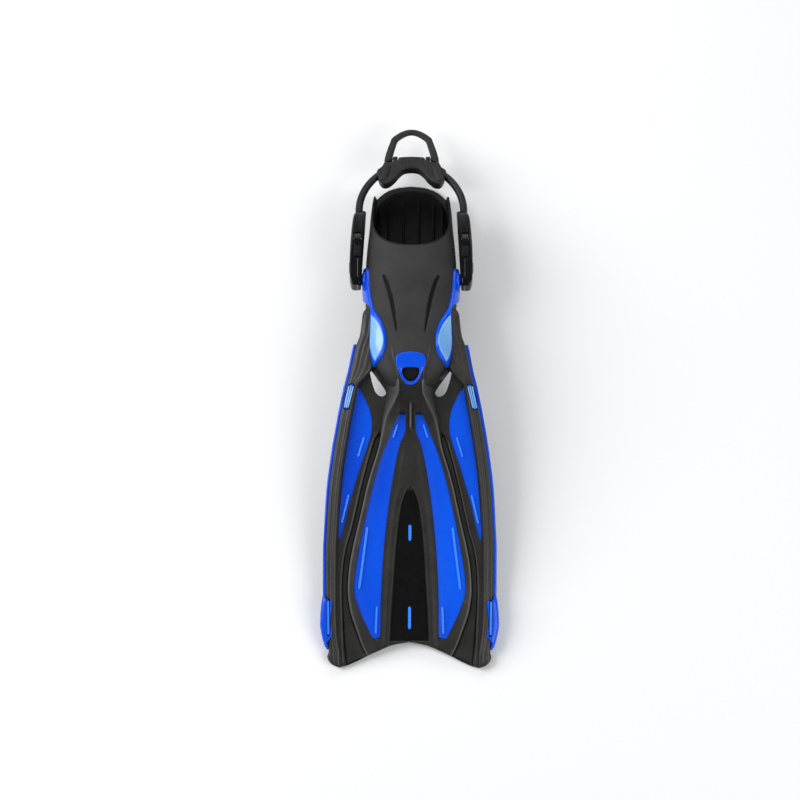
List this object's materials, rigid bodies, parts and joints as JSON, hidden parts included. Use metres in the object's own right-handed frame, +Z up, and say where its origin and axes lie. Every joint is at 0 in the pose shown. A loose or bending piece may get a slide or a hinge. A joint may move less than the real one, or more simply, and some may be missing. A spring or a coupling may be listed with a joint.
{
  "type": "open-heel swim fin",
  "caption": "Open-heel diving fin with an angled ribbed blade, soft foot pocket, side buckles, rubber heel strap with heel pad and pull loop.",
  "frame": {"origin": "middle of the bounding box, on the surface that the fin lies on", "axes": "+Z up, +Y from the blade's tips to the heel, +X to the right as seen from above with the heel away"},
  "size_m": [0.2208, 0.6754, 0.1154],
  "materials": {
    "blade_blue": "glossy translucent-looking royal blue technopolymer",
    "pale_blue": "glossy pale blue",
    "blade_rubber": "satin black moulded rubber",
    "dark_rubber": "smooth deep black rubber",
    "pocket_rubber": "matt soft dark grey rubber",
    "sole_plastic": "matt black plastic",
    "buckle_plastic": "polished black nylon",
    "strap_rubber": "smooth black rubber with a soft sheen",
    "steel": "stainless steel"
  },
  "bodies": {
    "fin": {"blade_core": "blade_blue", "blade_skin_upper": "blade_rubber", "blade_skin_lower": "blade_rubber", "centre_panel": "dark_rubber", "neck_fairing": "blade_rubber", "right_flex_channel": "dark_rubber", "left_flex_channel": "dark_rubber", "right_upper_rail": "blade_rubber", "left_upper_rail": "blade_rubber", "right_lower_rail": "blade_rubber", "left_lower_rail": "blade_rubber", "right_tip_guard": "blade_blue", "left_tip_guard": "blade_blue", "foot_pocket": "pocket_rubber", "sole_plate": "sole_plastic", "outsole": "blade_rubber", "footbed": "pocket_rubber", "toe_vent_bezel": "blade_blue", "right_side_frame": "blade_blue", "left_side_frame": "blade_blue", "right_side_inlay": "pale_blue", "left_side_inlay": "pale_blue"},
    "right_buckle": {"right_buckle_frame": "buckle_plastic", "right_buckle_cover": "buckle_plastic", "right_lever_pin": "steel", "right_lever_spring": "steel", "right_button_spring": "steel"},
    "left_buckle": {"left_buckle_frame": "buckle_plastic", "left_buckle_cover": "buckle_plastic", "left_lever_pin": "steel", "left_lever_spring": "steel", "left_button_spring": "steel"},
    "right_lever": {"right_strap_lever": "buckle_plastic"},
    "left_lever": {"left_strap_lever": "buckle_plastic"},
    "right_button": {"right_release_button": "buckle_plastic"},
    "left_button": {"left_release_button": "buckle_plastic"},
    "strap": {"heel_strap": "strap_rubber", "heel_pad": "pocket_rubber", "right_loop_pin": "steel", "left_loop_pin": "steel"},
    "loop": {"pull_loop": "pocket_rubber"}
  },
  "joints": [
    {"name": "strap_swivel_right", "type": "hinge", "parent": "fin", "child": "right_buckle", "pos_m": [0.0665, 0.13586, 0.07759], "axis": [1, 0, 0], "range_deg": [-10, 108]},
    {"name": "strap_swivel_left", "type": "hinge", "parent": "fin", "child": "left_buckle", "pos_m": [-0.0665, 0.13586, 0.07759], "axis": [1, 0, 0], "range_deg": [-10, 108]},
    {"name": "strap_adjust", "type": "slide", "parent": "right_buckle", "child": "strap", "axis": [0, 0.9842, -0.1771], "range_m": [0, 0.015]},
    {"name": "pull_loop_hinge", "type": "hinge", "parent": "strap", "child": "loop", "pos_m": [0, 0.29825, 0.04837], "axis": [1, 0, 0], "range_deg": [-40, 60]},
    {"name": "right_lever_press", "type": "hinge", "parent": "right_buckle", "child": "right_lever", "pos_m": [0.0666, 0.18871, 0.07763], "axis": [1, 0, 0], "range_deg": [0, 5.5], "stiffness_Nm_per_rad": 0.4, "springref_deg": -6.88},
    {"name": "left_lever_press", "type": "hinge", "parent": "left_buckle", "child": "left_lever", "pos_m": [-0.0666, 0.18871, 0.07763], "axis": [1, 0, 0], "range_deg": [0, 5.5], "stiffness_Nm_per_rad": 0.4, "springref_deg": -6.88},
    {"name": "right_button_press", "type": "slide", "parent": "right_buckle", "child": "right_button", "axis": [-1, 0, 0], "range_m": [0, 0.0022], "stiffness_N_per_m": 400, "springref_m": -0.002},
    {"name": "left_button_press", "type": "slide", "parent": "left_buckle", "child": "left_button", "axis": [1, 0, 0], "range_m": [0, 0.0022], "stiffness_N_per_m": 400, "springref_m": -0.002}
  ],
  "couplings": [
    {"joint": "strap_swivel_left", "follows": "strap_swivel_right", "ratio": 1}
  ]
}
